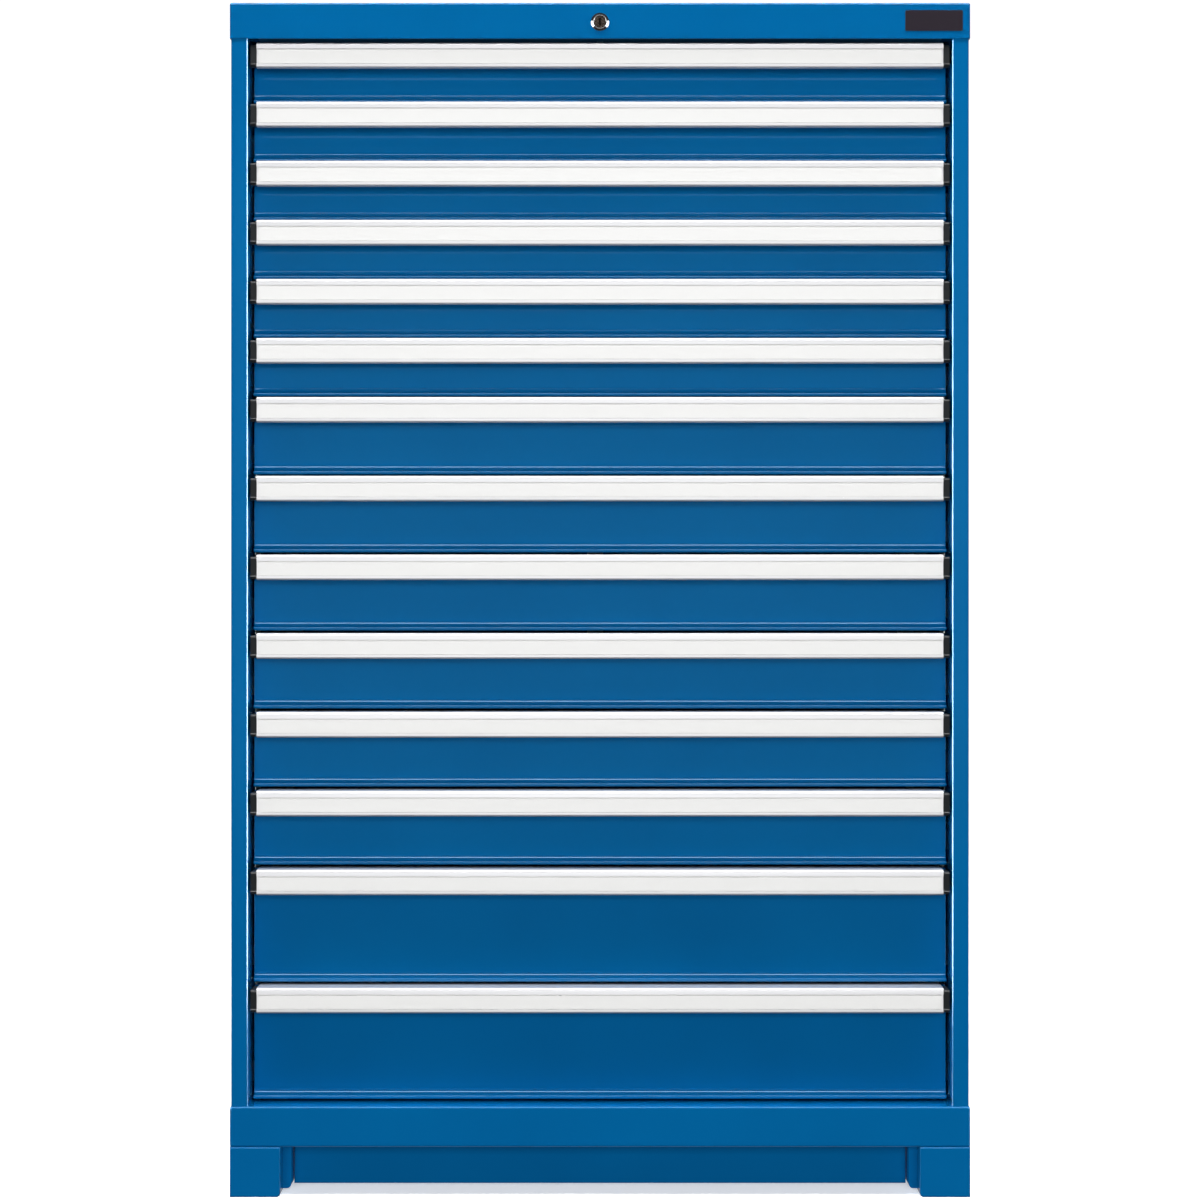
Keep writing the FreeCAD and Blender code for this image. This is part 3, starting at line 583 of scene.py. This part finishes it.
def card_under_pvc(name, hex_colour):
    """White card under clear film: a soft white below a smooth gloss, its fibres drawn coarse to show."""
    material, tree, shader = new_material(name)
    place = add(tree, "ShaderNodeTexCoord").outputs["Object"]
    fibre_cloud = 1.5 * mm
    fibre = add(tree, "ShaderNodeTexNoise", {"Vector": place, "Scale": 1 / fibre_cloud, "Detail": 3.0})
    ramp = add(tree, "ShaderNodeValToRGB", {"Fac": fibre.outputs["Fac"]})
    ramp.color_ramp.elements[0].color = linear(hex_colour, 0.97, 0.97, 0.965)
    ramp.color_ramp.elements[1].color = linear(hex_colour)
    tree.links.new(ramp.outputs["Color"], shader.inputs["Base Color"])
    shader.inputs["Roughness"].default_value = 0.6
    shader.inputs["Coat Weight"].default_value = 1.0
    shader.inputs["Coat Roughness"].default_value = 0.12
    shader.inputs["Coat IOR"].default_value = 1.53
    return material


white_card = card_under_pvc("white_card_under_clear_pvc", "#BEBEBD")
label_outline = [
    (label_back, label_top), (label_shoulder, label_top), (label_shoulder, window_top),
    (label_window, window_top, window_edge), (label_window, window_low, window_edge),
    (label_shoulder, window_low), (label_shoulder, label_low), (label_back, label_low)]

for drawer in drawers:
    label = new_piece(drawer + "_label", white_card,
                      bar(rounded_outline(hung(label_outline, drawer)), -label_half, label_half))
    smooth(label)
    fit(label, drawer, drawer + "_handle")


# Cheeks: black moulded caps pressed into both ends of the grip, with a raised face and a toe that stands
# further out. The mould's spark-eroded texture makes them dull.

cheek_outer = 431.6 * mm
cheek_top = 3.0 * mm
cheek_low = 30.5 * mm
toe_front = 35.0 * mm
toe_top = 27.2 * mm
toe_low = 28.2 * mm
toe_slope = 1.6 * mm
raised_front = toe_front - 0.9 * mm
raised_top = 5.1 * mm
raised_low = 26.2 * mm
rim_front = raised_front - 0.5 * mm
rim_low = 4.6 * mm
top_corner = 2.0 * mm
rear_corner = 4.0 * mm
low_corner = 1.5 * mm
mould_edge = 0.3 * mm


def spark_textured_plastic(name, hex_colour):
    """Black polyamide from a spark-eroded mould: dull, with a grain of 0.4 mm drawn at 0.8 mm to show."""
    material, tree, shader = new_material(name)
    place = add(tree, "ShaderNodeTexCoord").outputs["Object"]
    grain_size = 0.8 * mm
    grain = add(tree, "ShaderNodeTexNoise", {"Vector": place, "Scale": 1 / grain_size, "Detail": 3.0})
    shade = add(tree, "ShaderNodeValToRGB", {"Fac": grain.outputs["Fac"]})
    shade.color_ramp.elements[0].color = linear(hex_colour, 0.8, 0.8, 0.8)
    shade.color_ramp.elements[1].color = linear(hex_colour, 1.2, 1.2, 1.2)
    tree.links.new(shade.outputs["Color"], shader.inputs["Base Color"])
    dullness = add(tree, "ShaderNodeMapRange", {
        "Value": grain.outputs["Fac"], "To Min": 0.42, "To Max": 0.6})
    tree.links.new(dullness.outputs["Result"], shader.inputs["Roughness"])
    bump = add(tree, "ShaderNodeBump", {
        "Height": grain.outputs["Fac"], "Strength": 0.2, "Distance": 0.08 * mm})
    tree.links.new(bump.outputs["Normal"], shader.inputs["Normal"])
    return material


black_polyamide = spark_textured_plastic("black_moulded_polyamide", "#1A1C1E")
cheek_outline = [
    (0.0, cheek_top), (rim_front, cheek_top, top_corner), (rim_front, rim_low),
    (raised_front, raised_top), (raised_front, raised_low), (toe_front, toe_top),
    (toe_front, toe_low), (toe_front - toe_slope, cheek_low), (finger_roll, cheek_low, low_corner),
    (handle_wall, hook_low, rear_corner), (0.0, hook_low)]

for drawer in drawers:
    outline = rounded_outline(hung(cheek_outline, drawer))
    cheeks = new_piece(drawer + "_cheeks", black_polyamide,
                       bar(outline, -cheek_outer, -grip_half), bar(outline, grip_half, cheek_outer))
    edges = cheeks.modifiers.new("edges", "BEVEL")
    edges.width = mould_edge
    edges.segments = 2
    edges.limit_method = "ANGLE"
    edges.angle_limit = math.radians(40)
    smooth(cheeks)
    fit(cheeks, drawer, drawer + "_handle")


# Carriages: a galvanised plate on each side between runner and rail, with two pins outwards and two
# inwards. A hardened steel roller turns on each pin, between a collar and a riveted head.

def named_tree(name, sizes):
    """A geometry tree that takes a mesh, named sizes and a material. Returns it and its inputs."""
    group = bpy.data.node_groups.new(name, "GeometryNodeTree")
    group.interface.new_socket("Geometry", in_out="INPUT", socket_type="NodeSocketGeometry")
    for size in sizes:
        group.interface.new_socket(size, in_out="INPUT", socket_type="NodeSocketFloat")
    group.interface.new_socket("Material", in_out="INPUT", socket_type="NodeSocketMaterial")
    group.interface.new_socket("Geometry", in_out="OUTPUT", socket_type="NodeSocketGeometry")
    return group, add(group, "NodeGroupInput").outputs


def close_tree(group, shape, material):
    """Ends a tree in plain geometry with one material."""
    plain = add(group, "GeometryNodeRealizeInstances", {"Geometry": shape})
    finished = add(group, "GeometryNodeSetMaterial", {"Geometry": plain.outputs[0], "Material": material})
    add(group, "NodeGroupOutput", {"Geometry": finished.outputs[0]})


def grow(piece, group, **values):
    """Runs a tree on a piece, with its inputs given by name (spaces as underscores)."""
    modifier = piece.modifiers.new(group.name, "NODES")
    modifier.node_group = group
    for item in group.interface.items_tree:
        name = item.name.replace(" ", "_")
        if item.in_out == "INPUT" and name in values:
            modifier[item.identifier] = values[name]
    smooth(piece)


def placed_points(name, points):
    """An object of loose points (place, side), whose side is 1 or -1 along X."""
    mesh = bpy.data.meshes.new(name)
    mesh.from_pydata([place for place, side in points], [], [])
    sides = mesh.attributes.new("side", "FLOAT", "POINT")
    sides.data.foreach_set("value", [float(side) for place, side in points])
    return link_object(name, mesh)


roller_tree, given = named_tree("rollers", ["Radius", "Bore", "Width", "Edge"])
wall = add(roller_tree, "ShaderNodeMath", {0: given["Radius"], 1: given["Bore"]}, operation="SUBTRACT")
both = add(roller_tree, "ShaderNodeMath", {0: given["Radius"], 1: given["Bore"]}, operation="ADD")
mean = add(roller_tree, "ShaderNodeMath", {0: both.outputs[0], 1: 2.0}, operation="DIVIDE")
path = add(roller_tree, "GeometryNodeCurvePrimitiveCircle", {"Resolution": 40, "Radius": mean.outputs[0]})
square = add(roller_tree, "GeometryNodeCurvePrimitiveQuadrilateral", {
    "Width": wall.outputs[0], "Height": given["Width"]})
section = add(roller_tree, "GeometryNodeFilletCurve", {
    "Curve": square.outputs[0], "Count": 2, "Radius": given["Edge"]}, mode="POLY")
upright = add(roller_tree, "GeometryNodeSetCurveNormal", {"Curve": path.outputs[0]}, mode="Z_UP")
ring = add(roller_tree, "GeometryNodeCurveToMesh", {
    "Curve": upright.outputs[0], "Profile Curve": section.outputs[0]})
lying = add(roller_tree, "GeometryNodeTransform", {
    "Geometry": ring.outputs[0], "Rotation": (0.0, math.radians(90), 0.0)})
rollers = add(roller_tree, "GeometryNodeInstanceOnPoints", {
    "Points": given["Geometry"], "Instance": lying.outputs[0]})
close_tree(roller_tree, rollers.outputs[0], given["Material"])

pin_tree, given = named_tree("shouldered_pins", [
    "Collar Radius", "Collar", "Shank Radius", "Reach", "Head Radius", "Head"])
joined = add(pin_tree, "GeometryNodeJoinGeometry")
for radius, length, foot in (("Collar Radius", "Collar", 0.0), ("Shank Radius", "Reach", 0.0),
                             ("Head Radius", "Head", given["Reach"])):
    stub = add(pin_tree, "GeometryNodeMeshCylinder", {
        "Vertices": 24, "Radius": given[radius], "Depth": given[length]})
    centre = add(pin_tree, "ShaderNodeMath", {0: given[length], 1: 0.5, 2: foot}, operation="MULTIPLY_ADD")
    lift = add(pin_tree, "ShaderNodeCombineXYZ", {"Z": centre.outputs[0]})
    moved = add(pin_tree, "GeometryNodeTransform", {
        "Geometry": stub.outputs[0], "Translation": lift.outputs[0]})
    pin_tree.links.new(moved.outputs[0], joined.inputs[0])
side = add(pin_tree, "GeometryNodeInputNamedAttribute", {"Name": "side"}, data_type="FLOAT")
quarter = add(pin_tree, "ShaderNodeMath", {0: side.outputs[0], 1: math.radians(90)}, operation="MULTIPLY")
turned = add(pin_tree, "ShaderNodeCombineXYZ", {"Y": quarter.outputs[0]})
pins = add(pin_tree, "GeometryNodeInstanceOnPoints", {
    "Points": given["Geometry"], "Instance": joined.outputs[0], "Rotation": turned.outputs[0]})
close_tree(pin_tree, pins.outputs[0], given["Material"])


def ground_steel(name, hex_colour):
    """Hardened roller steel, ground: darker and smoother than zinc, with scratches drawn wide to show."""
    material, tree, shader = new_material(name)
    place = add(tree, "ShaderNodeTexCoord").outputs["Object"]
    scratch_length = 6 * mm
    scratch_width = 0.3 * mm
    fine = add(tree, "ShaderNodeMapping", {
        "Vector": place, "Scale": (1 / scratch_width, 1 / scratch_length, 1 / scratch_length)})
    grinding = add(tree, "ShaderNodeTexNoise", {"Vector": fine.outputs[0], "Scale": 1.0, "Detail": 2.0})
    dullness = add(tree, "ShaderNodeMapRange", {
        "Value": grinding.outputs["Fac"], "To Min": 0.16, "To Max": 0.34})
    tree.links.new(dullness.outputs["Result"], shader.inputs["Roughness"])
    shader.inputs["Base Color"].default_value = linear(hex_colour)
    shader.inputs["Metallic"].default_value = 1.0
    return material


roller_steel = ground_steel("ground_roller_steel", "#A2A4A6")
plate_outer = 419.3 * mm
plate_sheet = 2.5 * mm
plate_half_height = 10.0 * mm
plate_corner = 3.0 * mm
plate_end_gap = 0.5 * mm
collar = 2.2 * mm
collar_radius = 6.0 * mm
head = 1.0 * mm
head_radius = 5.5 * mm
roller_play = 0.3 * mm
roller_width = 8.0 * mm
roller_radius = 10.7 * mm
roller_edge = 0.8 * mm
pin_radius = 4.0 * mm
roller_stand_off = rail_sheet + roller_play + roller_radius
runner_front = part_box("fixed_runners")[0].y
runner_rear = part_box("fixed_runners")[1].y
carriage_travel = max(joint["range_m"][1] for joint in frame["joints"] if joint["child"] == "carriage_01")
outer_places = [runner_front + roller_stand_off + carriage_travel, runner_rear - roller_stand_off]
inner_places = [rail_front + roller_stand_off, rail_rear - roller_stand_off - carriage_travel]

for drawer in drawers:
    carriage = drawer.replace("drawer", "carriage")
    middle = lower_edge(drawer) + slide_height
    front_end = rail_front + plate_end_gap
    rear_end = rail_rear - plate_end_gap
    high = middle + plate_half_height
    low = middle - plate_half_height
    corners = ((rear_end, high), (front_end, high), (front_end, low), (rear_end, low))
    outline = rounded_outline([(y, z, plate_corner) for y, z in corners])
    plates = [bar(outline, left, left + plate_sheet) for left in (plate_outer - plate_sheet, -plate_outer)]
    pin_points = []
    roller_points = []
    faces = ((plate_outer, 1, outer_places), (plate_outer - plate_sheet, -1, inner_places))
    for hand in (1, -1):
        for face, side, places in faces:
            for y in places:
                pin_points.append(((hand * face, y, middle), hand * side))
                x = face + side * (collar + roller_play + roller_width / 2)
                roller_points.append(((hand * x, y, middle), hand * side))
    plate_piece = new_piece(drawer + "_carriage_plates", zinc, *plates)
    smooth(plate_piece)
    fit(plate_piece, carriage, drawer + "_carriage")
    pin_piece = placed_points(drawer + "_carriage_pins", pin_points)
    grow(pin_piece, pin_tree, Collar_Radius=collar_radius, Collar=collar, Shank_Radius=pin_radius,
         Reach=collar + roller_width + 2 * roller_play, Head_Radius=head_radius, Head=head, Material=zinc)
    fit(pin_piece, carriage, drawer + "_carriage")
    roller_piece = placed_points(drawer + "_rollers", roller_points)
    grow(roller_piece, roller_tree, Radius=roller_radius, Bore=pin_radius, Width=roller_width,
         Edge=roller_edge, Material=roller_steel)
    fit(roller_piece, carriage, drawer + "_carriage")


# Back panel screws: galvanised pan-head screws with a cross recess, seven down each side.
# A driver has left each recess at its own angle.

screw_tree, given = named_tree("pan_head_screws", ["Radius", "Height", "Recess Length", "Recess Width"])
ball = add(screw_tree, "GeometryNodeMeshUVSphere", {"Segments": 24, "Rings": 16, "Radius": 1.0})
dome_size = add(screw_tree, "ShaderNodeCombineXYZ", {
    "X": given["Radius"], "Y": given["Radius"], "Z": given["Height"]})
dome = add(screw_tree, "GeometryNodeTransform", {"Geometry": ball.outputs[0], "Scale": dome_size.outputs[0]})
cut = add(screw_tree, "GeometryNodeMeshBoolean", {
    "Mesh 1": dome.outputs[0], "Self Intersection": True}, operation="DIFFERENCE", solver="EXACT")
for x, y in (("Recess Length", "Recess Width"), ("Recess Width", "Recess Length")):
    bit_size = add(screw_tree, "ShaderNodeCombineXYZ", {"X": given[x], "Y": given[y], "Z": given["Height"]})
    bit = add(screw_tree, "GeometryNodeMeshCube", {"Size": bit_size.outputs[0]})
    raised = add(screw_tree, "ShaderNodeCombineXYZ", {"Z": given["Height"]})
    lifted = add(screw_tree, "GeometryNodeTransform", {
        "Geometry": bit.outputs[0], "Translation": raised.outputs[0]})
    screw_tree.links.new(lifted.outputs[0], cut.inputs["Mesh 2"])

# The random node has a pair of limits for each kind of value, so its sockets go by number.
lower_float, upper_float, seed = 2, 3, 8
angle = add(screw_tree, "FunctionNodeRandomValue", {lower_float: 0.0, upper_float: math.pi, seed: 7},
            data_type="FLOAT")
spin = add(screw_tree, "ShaderNodeCombineXYZ", {"Z": angle.outputs[1]})
standing = add(screw_tree, "GeometryNodeInstanceOnPoints", {
    "Points": given["Geometry"], "Instance": cut.outputs[0], "Rotation": spin.outputs[0]})
close_tree(screw_tree, standing.outputs[0], given["Material"])

screw_radius = 4.0 * mm
screw_height = 1.5 * mm
recess_length = 4.6 * mm
recess_width = 0.9 * mm
screw_x = 445.5 * mm
screw_margin = 40.0 * mm
screw_rows = 7
panel_low, panel_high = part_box("back_panel")
first_row = panel_low.z + screw_margin
last_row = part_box("top_cover")[0].z - screw_margin
screw_points = []
for i in range(screw_rows):
    z = first_row + (last_row - first_row) * i / (screw_rows - 1)
    screw_points += [((x, -z, panel_high.y), 1) for x in (-screw_x, screw_x)]
screws = placed_points("back_panel_screws_heads", screw_points)
grow(screws, screw_tree, Radius=screw_radius, Height=screw_height, Recess_Length=recess_length,
     Recess_Width=recess_width, Material=zinc)

# The heads have grown along Z, so they are laid over to face the rear.
for vertex in screws.data.vertices:
    x, y, z = vertex.co
    vertex.co = (x, z, -y)
fit(screws, "housing", "back_panel_screws")


# Lock: a die-cast barrel with a chromed bezel through the cap's skirt, held by a nut behind, and a
# turning core of nickel-plated brass with a keyway in front and a tang for the crank at the rear.

lock_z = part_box("top_cover")[1].z - 24.0 * mm
bezel_radius = 11.2 * mm


def turned_form(profile, steps=64):
    """A form turned round the lock's axis. The profile is (radius, distance in front of the cap)."""
    sections = []
    for radius, out in profile:
        angles = [2 * math.pi * i / steps for i in range(steps)]
        sections.append([
            (radius * math.cos(a), front_y - out, lock_z + radius * math.sin(a)) for a in angles])
    form = lofted(sections, ends=(False, False))
    bmesh.ops.remove_doubles(form, verts=form.verts, dist=1e-6)
    bmesh.ops.recalc_face_normals(form, faces=form.faces)
    return form


def polished_plate(name, hex_colour, sheen_low, sheen_high):
    """Bright plating on a casting: a mirror metal with faint polishing haze a few millimetres across."""
    material, tree, shader = new_material(name)
    place = add(tree, "ShaderNodeTexCoord").outputs["Object"]
    haze_size = 2 * mm
    haze = add(tree, "ShaderNodeTexNoise", {"Vector": place, "Scale": 1 / haze_size, "Detail": 2.0})
    dullness = add(tree, "ShaderNodeMapRange", {
        "Value": haze.outputs["Fac"], "To Min": sheen_low, "To Max": sheen_high})
    tree.links.new(dullness.outputs["Result"], shader.inputs["Roughness"])
    shader.inputs["Base Color"].default_value = linear(hex_colour)
    shader.inputs["Metallic"].default_value = 1.0
    return material


chrome = polished_plate("chrome_plate", "#E3E3E4", 0.05, 0.12)
nickel = polished_plate("nickel_plated_brass", "#756A61", 0.18, 0.34)
# The keyway's walls get a near-black brass: painted shade for the inside of the slot, not the metal's own
# colour.
oiled_brass = polished_plate("oiled_brass", "#1E1814", 0.4, 0.6)
bore = 7.25 * mm
barrel_radius = 9.5 * mm
barrel_length = 28.0 * mm

# From the bore outwards: the rolled inner lip, a step down, the sloping bezel, and the barrel behind it.
bezel_profile = [
    (bore, -barrel_length), (bore, 2.0 * mm), (bore + 0.3 * mm, 2.4 * mm), (8.0 * mm, 2.6 * mm),
    (8.5 * mm, 2.5 * mm), (8.9 * mm, 2.15 * mm), (9.1 * mm, 1.85 * mm), (11.0 * mm, 0.95 * mm),
    (bezel_radius, 0.7 * mm), (bezel_radius, 0.0),
    (barrel_radius, 0.0), (barrel_radius, -barrel_length), (bore, -barrel_length)]
bezel = new_piece("lock_bezel", chrome, turned_form(bezel_profile))
smooth(bezel)
fit(bezel, "housing", "lock_housing")

nut_radius = 14.4 * mm
nut_front = front_y + 1.5 * mm
nut_rear = nut_front + 4.0 * mm
nut_sides = 6
nut_points = 8 * nut_sides


def nut_section(y, hexagonal):
    """A section of the nut: its hexagon, or the round bore for the barrel."""
    points = []
    for i in range(nut_points):
        a = 2 * math.pi * i / nut_points
        radius = barrel_radius
        if hexagonal:
            from_flat = a % (2 * math.pi / nut_sides) - math.pi / nut_sides
            radius = nut_radius * math.cos(math.pi / nut_sides) / math.cos(from_flat)
        points.append((radius * math.cos(a), y, lock_z + radius * math.sin(a)))
    return points


nut_form = lofted([nut_section(nut_rear, True), nut_section(nut_front, True), nut_section(nut_front, False),
                   nut_section(nut_rear, False), nut_section(nut_rear, True)], ends=(False, False))
bmesh.ops.remove_doubles(nut_form, verts=nut_form.verts, dist=1e-6)
bmesh.ops.recalc_face_normals(nut_form, faces=nut_form.faces)
nut = new_piece("lock_nut", zinc, nut_form)
smooth(nut)
fit(nut, "housing", "lock_housing")

core_front = 1.8 * mm
core_radius = 7.2 * mm
core_edge = 0.4 * mm
dish_radius = 3.0 * mm
dish_depth = 0.5 * mm
core_profile = [
    (0.0, core_front - dish_depth), (dish_radius, core_front - dish_depth),
    (dish_radius + core_edge, core_front), (core_radius - core_edge, core_front),
    (core_radius, core_front - core_edge), (core_radius, -barrel_length), (0.0, -barrel_length)]
tang_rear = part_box("lock_plug")[1].y
tang_half_width = 3.0 * mm
tang_half_height = 1.5 * mm
barrel_rear = front_y + barrel_length
tang = bar([(barrel_rear, lock_z + tang_half_height), (barrel_rear, lock_z - tang_half_height),
            (tang_rear, lock_z - tang_half_height), (tang_rear, lock_z + tang_half_height)],
           -tang_half_width, tang_half_width)
core = new_piece("lock_core", nickel, turned_form(core_profile), tang)
key_half_width = 1.0 * mm
key_half_height = 4.5 * mm
key_depth = 12.0 * mm
# The cutter passes its near-black brass onto the walls it cuts, as painted shade inside the keyway.
keyway = new_piece("keyway", oiled_brass, lofted([
    [(-key_half_width, y, lock_z - key_half_height), (key_half_width, y, lock_z - key_half_height),
     (key_half_width, y, lock_z + key_half_height), (-key_half_width, y, lock_z + key_half_height)]
    for y in (front_y + key_depth, front_y - 2 * core_front)]))
slotting = core.modifiers.new("keyway", "BOOLEAN")
slotting.object = keyway
slotting.operation = "DIFFERENCE"
slotting.material_mode = "TRANSFER"
smooth(core)
bpy.data.objects.remove(keyway)
fit(core, "lock_plug", "lock_plug")


# Blank plate: a plain strip of black polyester film on an aluminium backing, stuck on the cap.
# The film has a fine matt texture, drawn a little coarser than the real one so that it shows.

def matt_film(name, dark, light):
    """Matt black film: an almost even black with soft, slightly cloudy highlights."""
    material, tree, shader = new_material(name)
    place = add(tree, "ShaderNodeTexCoord").outputs["Object"]
    texture_size = 0.7 * mm
    texture = add(tree, "ShaderNodeTexNoise", {"Vector": place, "Scale": 1 / texture_size, "Detail": 2.0})
    shade = add(tree, "ShaderNodeValToRGB", {"Fac": texture.outputs["Fac"]})
    shade.color_ramp.elements[0].color = linear(dark)
    shade.color_ramp.elements[1].color = linear(light)
    tree.links.new(shade.outputs["Color"], shader.inputs["Base Color"])
    dullness = add(tree, "ShaderNodeMapRange", {
        "Value": texture.outputs["Fac"], "To Min": 0.3, "To Max": 0.42})
    tree.links.new(dullness.outputs["Result"], shader.inputs["Roughness"])
    return material


coat_node("blank_plate", matt_film("black_polyester_film", "#1E1920", "#272129"))


# Lights again: the strips would wash out the grips, the lock, the plate and the kick panel, so they are
# kept off them. A side strip is also kept off the wall on its own side and off the cap, whose outer edges
# stay blue. The grips and the lock have dimmer lights of their own.

def light_only(light, pieces, state):
    """Keeps a light to the given pieces (INCLUDE) or off them (EXCLUDE)."""
    listed = bpy.data.collections.new(light.name + "_" + state.lower())
    light.light_linking.receiver_collection = listed
    for piece in pieces:
        listed.objects.link(piece)
    for entry in listed.collection_objects:
        entry.light_linking.link_state = state


def on_drawers(*kinds):
    """The pieces of the given kinds on every drawer."""
    return [bpy.data.objects[drawer + "_" + kind] for kind in kinds for drawer in drawers]


light_only(grip_glow, on_drawers("grip", "label"), "INCLUDE")
for light in (lock_glow, *lock_strips):
    light_only(light, [bezel, core], "INCLUDE")
light_only(overhead_glow, [bezel, core], "EXCLUDE")

cap, left_wall, right_wall, plate, kick_panel = [frame["nodes"][node] for node in (
    "top_cover", "left_side_panel", "right_side_panel", "blank_plate", "front_kick_panel")]
kept_dull = on_drawers("grip", "label", "cheeks") + [bezel, core, plate, kick_panel]
light_only(left_strip, kept_dull + [left_wall, cap], "EXCLUDE")
light_only(right_strip, kept_dull + [right_wall, cap], "EXCLUDE")
light_only(fold_strip, kept_dull + [cap], "EXCLUDE")
light_only(cap_strip, [cap], "INCLUDE")
